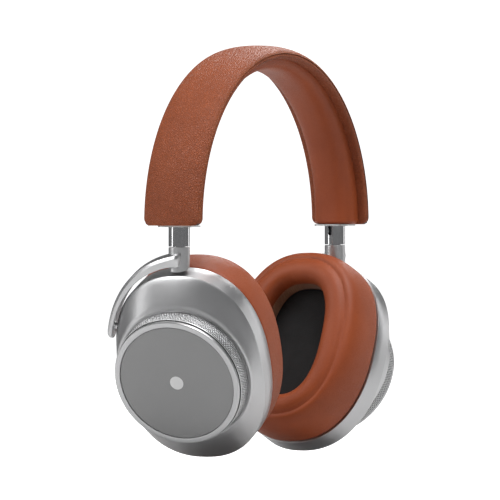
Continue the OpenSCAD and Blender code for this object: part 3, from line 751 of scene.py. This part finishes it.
# section of the cushion: share from the opening (0) to the outer edge (1), and share of its depth
cushionSection = [
    (0.10, 0.0), (0.035, 0.04), (0.03, 0.25), (0.03, 0.50), (0.02, 0.60), (-0.04, 0.68), (-0.05, 0.78),
    (-0.01, 0.92), (0.09, 1.0), (0.22, 1.035), (0.36, 1.035), (0.50, 1.01), (0.58, 0.97), (0.625, 0.935),
    (0.655, 0.93), (0.72, 0.945), (0.82, 0.91), (0.92, 0.81), (0.985, 0.64), (1.015, 0.42), (1.015, 0.2),
    (1.01, 0.06), (0.995, 0.0), (0.8, -0.005), (0.5, 0.0), (0.25, 0.0)]


def cushionPoints(side):
    # the section carried round the cup, between the outline of the opening and the outline of the rim
    s = cushionShape
    loop = smoothLoop(cushionSection, s["section"])
    share, depth = loop[:, 0][None, :], loop[:, 1][None, :]
    a = evenAngles(s["around"], s["outHalfWidth"], s["outHalfHeight"], s["outPower"])
    outY, outZ = oval(a, s["outHalfWidth"], s["outHalfHeight"], s["outPower"])
    turn = np.arctan2(outZ / s["outHalfHeight"], outY / s["outHalfWidth"])
    inY, inZ = oval(turn, s["inHalfWidth"], s["inHalfHeight"], s["inPower"])
    y = inY[:, None] * (1 - share) + outY[:, None] * share
    z = inZ[:, None] * (1 - share) + outZ[:, None] * share
    out = s["back"] + (s["face"] - s["back"]) * depth
    # fine pleats where the leather turns round the ends, and a slow unevenness
    onFace = np.clip(depth - 0.55, 0, 1) * 2
    pleat = np.sin(turn * 34 + 2 * np.sin(turn * 5)) * np.abs(np.sin(turn)) ** 3
    slow = ripple(np.stack(np.broadcast_arrays(out, y, z), -1), 21 if side == "left" else 33, 0.15)
    out = out - (0.05 * pleat[:, None] * np.clip(1 - share, 0, 1) + 0.16 * slow) * onFace
    return out, y, z


def buildCushion(side):
    # closed tube: rows run round the cup, columns run round the section
    out, y, z = cushionPoints(side)
    points = toCup(side, out, y, z)
    piece = makeMesh(side + "Cushion", points * mm, gridFaces(*y.shape, True, True), "leather_pad", sharp=60.0)
    place(piece, side + "_cup", "leather_pad", side + "_cushion")
    return piece


def addWeaveMap(piece, u, v):
    # UV map in metres, so that threads keep their size
    layer = piece.data.uv_layers.new(name="weave")
    index = np.zeros(len(piece.data.loops), np.int32)
    piece.data.loops.foreach_get("vertex_index", index)
    layer.data.foreach_set("uv", np.stack([u.ravel()[index], v.ravel()[index]], -1).astype(np.float32).ravel())


linerShape = {"steps": 240, "around": 0.155}


def buildLiner(side):
    # woven wall inside the opening: thin closed tube, slightly sunk into the leather at its rim
    s = cushionShape
    steps = linerShape["steps"]
    a = evenAngles(steps, s["inHalfWidth"], s["inHalfHeight"], s["inPower"])
    h = np.array([-1.9, -6.0, -10.0, -13.0, -15.6, -15.6, -13.0, -10.0, -6.0, -1.9])
    inset = np.array([0.5, 0.5, 0.5, 0.45, 0.3, 0.0, 0.1, 0.15, 0.15, 0.15])
    y, z = oval(a[:, None], s["inHalfWidth"] - inset[None, :], s["inHalfHeight"] - inset[None, :], s["inPower"])
    points = toCup(side, h[None, :], y, z)
    piece = makeMesh(side + "PadLiner", points * mm, gridFaces(*y.shape, True, True), "liner_mesh", weld=False)
    length = np.arange(steps)[:, None] / steps * linerShape["around"] + 0 * h[None, :]
    addWeaveMap(piece, length, np.broadcast_to(h[None, :] * mm, length.shape))
    return place(piece, side + "_cup", "liner_mesh", side + "_pad_liner")


clothShape = {"outline": (17.6, 29.0, 2.6), "face": -10.35, "back": -9.75, "dome": 0.5, "rings": 26, "steps": 200}


def buildDriverCloth(side):
    # stretched cloth over the plinth: rings shrink to the middle, with a faint dome
    c = clothShape
    steps = c["steps"]
    t = np.linspace(1, 0, c["rings"])[None, :]
    y, z = oval(evenAngles(steps, *c["outline"]), *c["outline"])
    y, z = y[:, None] * t, z[:, None] * t
    face = c["face"] - c["dome"] * (1 - t ** 2)
    bump = ripple(np.stack(np.broadcast_arrays(face, y, z), -1), 5, 0.25)
    out = face + 0.06 * bump * (1 - t ** 4)
    back = np.full((steps, 1), c["back"])
    out = np.concatenate([back, out], 1)
    y = np.concatenate([y[:, :1], y], 1)
    z = np.concatenate([z[:, :1], z], 1)
    points = toCup(side, out, y, z)
    faces = gridFaces(*y.shape, True, False).tolist()
    # the back is closed by a fan
    columns = y.shape[1]
    ring = np.arange(steps) * columns
    flat = np.vstack([points.reshape(-1, 3), points[:, 0].mean(0)])
    hub = len(flat) - 1
    faces += [[b, a, hub] for a, b in zip(ring, np.roll(ring, -1))]
    piece = makeMesh(side + "DriverCloth", flat * mm, faces, "black_cloth", weld=False)
    addWeaveMap(piece, np.append(y.ravel() * mm, 0), np.append(z.ravel() * mm, 0))
    return place(piece, side + "_cup", "black_cloth", side + "_driver_cloth")


for side in sides:
    buildCushion(side)
    buildLiner(side)
    buildDriverCloth(side)
print("ear cushions built")


yokeShape = {
    "innerTop": 50.7, "innerBack": 38.76, "rootThickness": 5.5, "tipThickness": 2.6, "outLow": 4.5, "width": 7.5,
    "drift": 0.5, "foot": 14.0, "chamfer": 1.3, "steps": 90, "collarRadius": 5.0,
    "footGap": 1.5}


def buildYoke(side):
    # arm: a chamfered strap carried round the rear upper quarter of the cup, drifting outward to its tip;
    # collar: a short tube whose foot is cut along the top of the rim
    s = yokeShape
    tipAngle = math.acos(s["foot"] / s["innerTop"])
    a = np.linspace(-0.06, tipAngle, s["steps"])
    share = np.clip(a / tipAngle, 0, 1)
    inner = np.stack([s["innerBack"] * np.sin(a), s["innerTop"] * np.cos(a)], -1)
    along = np.stack([s["innerBack"] * np.cos(a), -s["innerTop"] * np.sin(a)], -1)
    along /= np.linalg.norm(along, axis=1)[:, None]
    outward = np.stack([-along[:, 1], along[:, 0]], -1)
    thick = s["rootThickness"] + (s["tipThickness"] - s["rootThickness"]) * np.sqrt(share)
    # the tip is rounded
    toTip = (tipAngle - a) * 45
    ending = np.sqrt(1 - (1 - np.clip(toTip / 3.6, 0, 1)) ** 2)
    # the root is slimmer, so that it runs into the collar
    spread = np.clip(a / 0.32, 0, 1)
    spread = spread * spread * (3 - 2 * spread)
    beginning = np.sqrt(1 - (1 - np.clip((a + 0.06) * 45 / 2.4, 0, 1)) ** 2)
    half = s["width"] / 2 * (0.08 + 0.92 * ending) * (0.08 + 0.92 * beginning) * (0.9 + 0.1 * spread)
    middle = s["outLow"] + s["width"] / 2 + s["drift"] * share ** 1.3 - 1.0 * (1 - spread)
    c = s["chamfer"]
    # section corners: (hand, distance in from the strap's edge, distance out of its inner face)
    def corner(hand, offset, depth):
        return middle + hand * (half - offset), np.clip(depth, 0, None)
    zero = np.zeros_like(thick)
    corners = [(-1, 0.25, zero), (-1, 0.0, zero + 0.25), (-1, 0.0, thick - 0.4), (-1, 0.4, thick),
               (1, c, thick), (1, 0.12, thick - c * 0.9), (1, 0.0, thick - c * 1.05),
               (1, 0.0, zero + 0.25), (1, 0.25, zero)]
    hs, ds = zip(*[corner(*k) for k in corners])
    h = np.stack(hs, -1)
    d = np.stack(ds, -1)
    y = inner[:, :1] + outward[:, :1] * d
    z = inner[:, 1:] + outward[:, 1:] * d
    points = toCup(side, h, y, z)
    rows, columns = y.shape
    faces = gridFaces(rows, columns, False, True).tolist()
    flat = points.reshape(-1, 3)
    for row, order in ((0, -1), (rows - 1, 1)):
        hub = len(flat)
        flat = np.vstack([flat, points[row].mean(0)])
        ring = (row * columns + np.arange(columns))[::order]
        faces += [[p, q, hub] for p, q in zip(ring, np.roll(ring, -1))]
    # collar about the post's axis
    swivel = next(j for j in frame["joints"] if j["name"] == side + "_swivel")
    px, py, pz = np.array(swivel["pos_m"]) / mm
    origin, _, _, up = cups[side]
    steps = 96
    angle = np.arange(steps) / steps * math.tau
    r = s["collarRadius"]
    circle = np.stack([np.cos(angle), np.sin(angle)], -1)
    rings = []
    top = pz - 0.3
    # each ring is (radius, height), and a ring with no height lies on the cut of the foot
    tube = [(3.1, top - 4.2), (3.1, top - 0.1), (3.3, top), (r - 0.25, top), (r, top - 0.25), (r, None),
            (r - 0.3, None), (3.9, None), (3.9, top - 4.2)]
    for radius, height in tube:
        ringX = px + radius * circle[:, 0]
        ringY = py + radius * circle[:, 1]
        if height is None:
            # foot: points whose distance along the cup's upward direction is just past the rim
            rimTop = cupShape["rimHalfHeight"] + s["footGap"] + (0.0 if radius < r else 0.25)
            ringZ = origin[2] + (rimTop - (ringX - origin[0]) * up[0] - (ringY - origin[1]) * up[1]) / up[2]
        else:
            ringZ = np.full(steps, height)
        rings.append(np.stack([ringX, ringY, ringZ], -1))
    collar = np.stack(rings, 1)
    start = len(flat)
    faces += (gridFaces(steps, len(rings), True, True) + start).tolist()
    flat = np.vstack([flat, collar.reshape(-1, 3)])
    piece = makeMesh(side + "Yoke", flat * mm, faces, "satin_aluminium", sharp=25.0)
    return place(piece, side + "_yoke", "satin_aluminium", side + "_yoke")


for side in sides:
    buildYoke(side)
print("yokes built")


floorLook = {"color": (0.62, 0.62, 0.62, 1), "rough": 0.9, "below": 0.004}


def addFloor():
    # one sheet: a flat floor, then a quarter circle, then a backdrop straight up far behind
    low = min(cadBox[0][2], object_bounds()[0][2]) - floorLook["below"]
    t = np.linspace(0, 1, 40)
    width = np.linspace(-4, 4, 3)
    bend = np.clip((t - 0.55) / 0.45, 0, 1) * math.pi / 2
    run = np.where(t < 0.55, t / 0.55 * 4.0 - 1.6, 2.4 + 0.9 * np.sin(bend))
    rise = np.where(t < 0.55, 0.0, 0.9 * (1 - np.cos(bend)))
    run = np.append(run, 3.3)
    rise = np.append(rise, 4.5)
    turn = math.radians(-60)
    x = width[None, :] * math.cos(turn) - run[:, None] * math.sin(turn)
    y = width[None, :] * math.sin(turn) + run[:, None] * math.cos(turn)
    z = low + rise[:, None] + 0 * width[None, :]
    material = bpy.data.materials.new("paleFloor")
    material.use_nodes = True
    tree = material.node_tree
    shader = tree.nodes["Principled BSDF"]
    shader.inputs["Base Color"].default_value = floorLook["color"]
    shader.inputs["Roughness"].default_value = floorLook["rough"]
    shader.inputs["Emission Color"].default_value = (1, 1, 1, 1)
    path = tree.nodes.new("ShaderNodeLightPath")
    tree.links.new(path.outputs["Is Camera Ray"], shader.inputs["Emission Strength"])
    # seen from behind, the sheet lets the view through
    facing = tree.nodes.new("ShaderNodeNewGeometry")
    clear = tree.nodes.new("ShaderNodeBsdfTransparent")
    behind = maths(tree, "MULTIPLY", path.outputs["Is Camera Ray"], facing.outputs["Backfacing"])
    blend = addNode(tree, "MixShader", {0: behind, 1: shader.outputs[0], 2: clear.outputs[0]})
    tree.links.new(blend.outputs[0], tree.nodes["Material Output"].inputs["Surface"])
    mesh = bpy.data.meshes.new("floor")
    points = np.stack([x, y, z], -1).reshape(-1, 3)
    mesh.from_pydata(points.tolist(), [], gridFaces(*z.shape, False, False).tolist())
    mesh.shade_smooth()
    mesh.materials.append(material)
    mesh.flip_normals()
    floor = bpy.data.objects.new("floor", mesh)
    bpy.context.scene.collection.objects.link(floor)


def addLight(name, azimuth, elevation, distance, size, power, tall=None):
    # soft box that looks at the object's middle
    a, e = math.radians(azimuth), math.radians(elevation)
    middle = Vector((0, 0, -0.09))
    offset = Vector((math.sin(a) * math.cos(e), -math.cos(a) * math.cos(e), math.sin(e))) * distance
    lamp = bpy.data.lights.new(name, "AREA")
    lamp.shape = "RECTANGLE"
    lamp.size = size
    lamp.size_y = tall or size
    lamp.energy = power
    holder = bpy.data.objects.new(name, lamp)
    holder.location = middle + offset
    holder.rotation_euler = (-offset).to_track_quat("-Z", "Y").to_euler()
    bpy.context.scene.collection.objects.link(holder)


def addGlassCard():
    # pale card whose lower edge is mirrored across the near glass
    card = {"distance": 1.4, "width": 1.1, "height": 0.7, "power": 4.0, "edgeTilt": -14.0}
    camera = bpy.context.scene.camera.location
    middle = Vector([float(c) for c in toCup("right", cupShape["glassTop"], 0.0, 0.0).reshape(3) * mm])
    normal = Vector([float(c) for c in cups["right"][1]])
    seen = (middle - camera).normalized()
    mirrored = seen - 2 * seen.dot(normal) * normal
    side = mirrored.cross(Vector((0, 0, 1))).normalized()
    rise = side.cross(mirrored).normalized()
    turn = math.radians(card["edgeTilt"])
    upward = rise * math.cos(turn) + side * math.sin(turn)
    lamp = bpy.data.lights.new("glassCard", "AREA")
    lamp.shape = "RECTANGLE"
    lamp.size, lamp.size_y, lamp.energy = card["width"], card["height"], card["power"]
    holder = bpy.data.objects.new("glassCard", lamp)
    back = -mirrored
    across = upward.cross(-back).normalized()
    frameAxes = Matrix((across, upward, -back)).transposed()
    holder.matrix_world = Matrix.LocRotScale(
        middle + mirrored * card["distance"] + upward * card["height"] / 2, frameAxes.to_quaternion(), None)
    bpy.context.scene.collection.objects.link(holder)


def addWorld():
    world = bpy.data.worlds.new("studio")
    world.use_nodes = True
    background = world.node_tree.nodes["Background"]
    background.inputs["Color"].default_value = (0.97, 0.98, 1.0, 1)
    # dim for the lighting, white where the view looks past the floor
    path = world.node_tree.nodes.new("ShaderNodeLightPath")
    extra = maths(world.node_tree, "MULTIPLY", path.outputs["Is Camera Ray"], 0.9)
    world.node_tree.links.new(maths(world.node_tree, "ADD", extra, 0.17), background.inputs["Strength"])
    bpy.context.scene.world = world


def addCamera():
    # long lens, so that the view is nearly parallel
    cameraLook = {"azimuth": -60.0, "elevation": 0.5, "distance": 3.0, "lens": 453.6,
                  "aim": (-0.0026, 0.0033, -0.0855)}
    a, e = math.radians(cameraLook["azimuth"]), math.radians(cameraLook["elevation"])
    back = Vector((math.sin(a) * math.cos(e), -math.cos(a) * math.cos(e), math.sin(e)))
    data = bpy.data.cameras.new("camera")
    data.lens = cameraLook["lens"]
    data.sensor_width = 36.0
    data.clip_end = 50
    camera = bpy.data.objects.new("camera", data)
    camera.location = Vector(cameraLook["aim"]) + back * cameraLook["distance"]
    camera.rotation_euler = back.to_track_quat("Z", "Y").to_euler()
    bpy.context.scene.collection.objects.link(camera)
    bpy.context.scene.camera = camera


bpy.context.scene.view_settings.view_transform = "Standard"
addCamera()
addFloor()
addWorld()
addLight("keyBox", -120, 42, 1.5, 0.9, 12)
addLight("leftStrip", -138, 4, 1.6, 0.22, 2.2, 1.1)
addLight("topBox", -15, 72, 1.3, 0.8, 19)
addLight("rightBox", 66, 8, 1.7, 0.4, 2.6, 1.2)
addLight("backBox", 104, 36, 1.8, 0.8, 13)
addGlassCard()
print("stage, lights and camera set")
